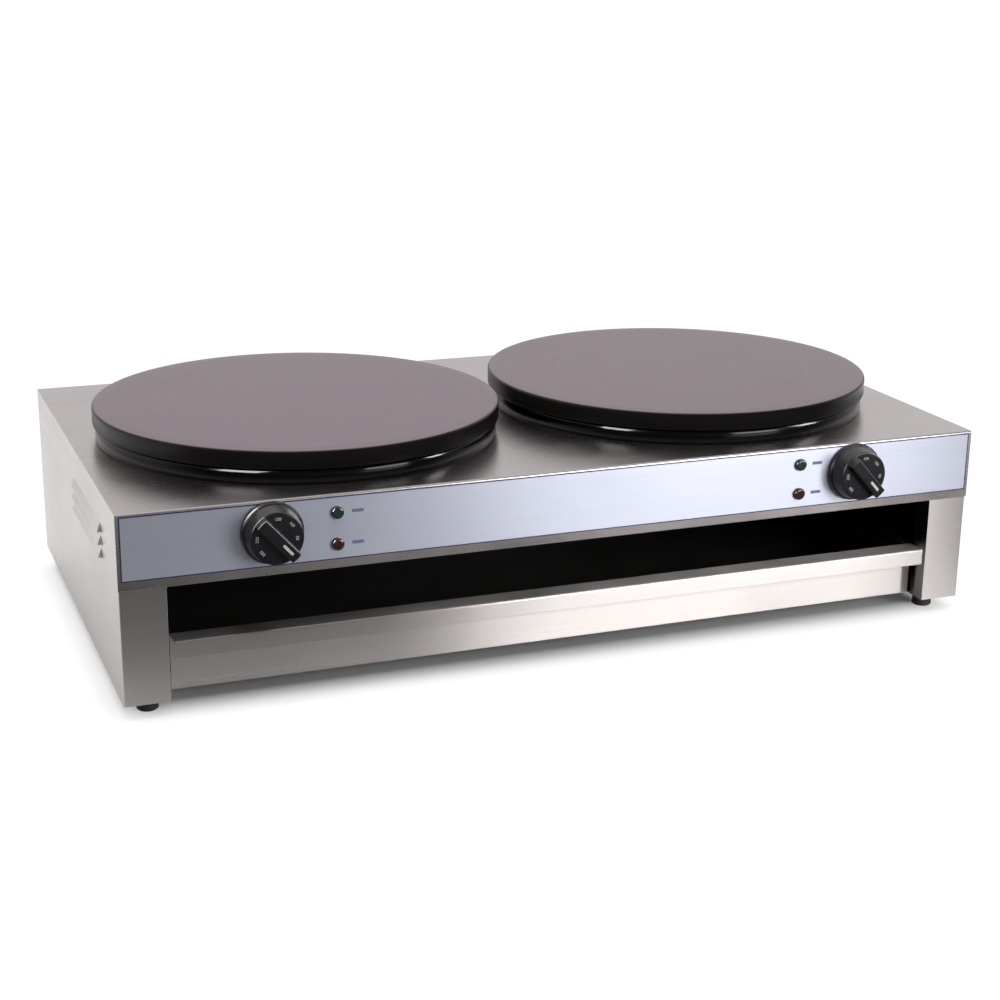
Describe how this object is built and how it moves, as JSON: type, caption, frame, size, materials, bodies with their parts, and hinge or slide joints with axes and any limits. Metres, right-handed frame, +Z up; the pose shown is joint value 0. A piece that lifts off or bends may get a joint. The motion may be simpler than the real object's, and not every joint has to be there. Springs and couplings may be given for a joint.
{
  "type": "electric crepe maker",
  "caption": "Countertop electric crepe maker: round griddle plates side by side on a sheet steel body, with front dials and a pull-out drawer under an open slot.",
  "frame": {"origin": "on the counter, at the centre of the whole footprint", "axes": "+Z up, +X to the right as seen from the front, the front with dials and drawer faces -Y"},
  "size_m": [0.866, 0.516, 0.223],
  "materials": {
    "stainless": "satin",
    "control_film": "satin",
    "griddle_iron": "satin",
    "black_enamel": "gloss",
    "aluminised_steel": "satin",
    "mineral_fibre": "matte",
    "element_sheath": "satin",
    "plated_steel": "satin",
    "copper": "satin",
    "thermostat_body": "matte",
    "terminal_ceramic": "satin",
    "lead_sleeve": "matte",
    "knob_black": "satin",
    "lens_green": "gloss",
    "lens_red": "gloss",
    "lamp_body": "matte",
    "gland_black": "matte",
    "foot_rubber": "matte"
  },
  "bodies": {
    "base": {"cable_gland_left": "gland_black", "cable_gland_right": "gland_black", "compartment_floor": "stainless", "control_film": "control_film", "cover_nuts": "plated_steel", "drawer_runner_left": "stainless", "drawer_runner_right": "stainless", "element_clamp_left": "aluminised_steel", "element_clamp_right": "aluminised_steel", "floor_screws": "plated_steel", "foot_front_left": "foot_rubber", "foot_front_right": "foot_rubber", "foot_rear_left": "foot_rubber", "foot_rear_right": "foot_rubber", "foot_screws": "plated_steel", "gland_nuts": "gland_black", "heater_pan_left": "aluminised_steel", "heater_pan_right": "aluminised_steel", "heating_element_left": "element_sheath", "heating_element_right": "element_sheath", "insulation_left": "mineral_fibre", "insulation_right": "mineral_fibre", "pilot_body_green_left": "lamp_body", "pilot_body_green_right": "lamp_body", "pilot_body_red_left": "lamp_body", "pilot_body_red_right": "lamp_body", "pilot_lens_green_left": "lens_green", "pilot_lens_green_right": "lens_green", "pilot_lens_red_left": "lens_red", "pilot_lens_red_right": "lens_red", "plate_left": "griddle_iron", "plate_right": "griddle_iron", "plate_ring_left": "black_enamel", "plate_ring_right": "black_enamel", "plate_studs_left": "plated_steel", "plate_studs_right": "plated_steel", "rear_panel": "stainless", "rear_panel_screws": "plated_steel", "runner_brackets_left": "stainless", "runner_brackets_right": "stainless", "side_panel_left": "stainless", "side_panel_right": "stainless", "stud_nuts": "plated_steel", "terminal_block_left": "terminal_ceramic", "terminal_block_right": "terminal_ceramic", "thermostat_bulb_left": "copper", "thermostat_bulb_right": "copper", "thermostat_left": "thermostat_body", "thermostat_right": "thermostat_body", "thermostat_screws": "plated_steel", "top_cover": "stainless", "wiring_left": "lead_sleeve", "wiring_right": "lead_sleeve"},
    "drawer": {"drawer_front": "stainless", "drawer_tray": "stainless", "drawer_screws": "plated_steel"},
    "dial_left": {"knob_left": "knob_black", "thermostat_shaft_left": "plated_steel"},
    "dial_right": {"knob_right": "knob_black", "thermostat_shaft_right": "plated_steel"}
  },
  "joints": [
    {"name": "drawer_slide", "type": "slide", "parent": "base", "child": "drawer", "axis": [0, -1, 0], "range_m": [0, 0.33]},
    {"name": "dial_left_turn", "type": "hinge", "parent": "base", "child": "dial_left", "pos_m": [-0.294, -0.23795, 0.162], "axis": [0, 1, 0], "range_deg": [0, 270]},
    {"name": "dial_right_turn", "type": "hinge", "parent": "base", "child": "dial_right", "pos_m": [0.294, -0.23795, 0.162], "axis": [0, 1, 0], "range_deg": [0, 270]}
  ]
}
